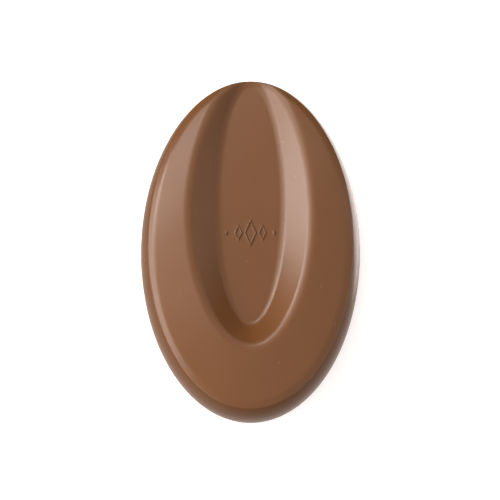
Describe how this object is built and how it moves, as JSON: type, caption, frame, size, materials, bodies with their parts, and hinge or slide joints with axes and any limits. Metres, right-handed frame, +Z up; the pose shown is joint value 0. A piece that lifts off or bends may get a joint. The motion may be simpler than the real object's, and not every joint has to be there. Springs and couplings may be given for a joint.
{
  "type": "chocolate egg",
  "caption": "Flat-backed, egg-shaped moulded milk chocolate: curved side, sloping rim, low dome and a long oval recess with sloping walls and a small raised row of lozenges on its floor.",
  "frame": {"origin": "middle of the flat underside, on the surface that the egg lies on", "axes": "+Y along the long axis, towards the end where the recess runs out over the rim; +Z up, through the dome; +X across"},
  "size_m": [0.027, 0.0424, 0.0066],
  "materials": {
    "milk_chocolate": "smooth satin-gloss milk chocolate from a polished mould"
  },
  "bodies": {
    "root": {"chocolate_egg": "milk_chocolate"}
  },
  "joints": []
}
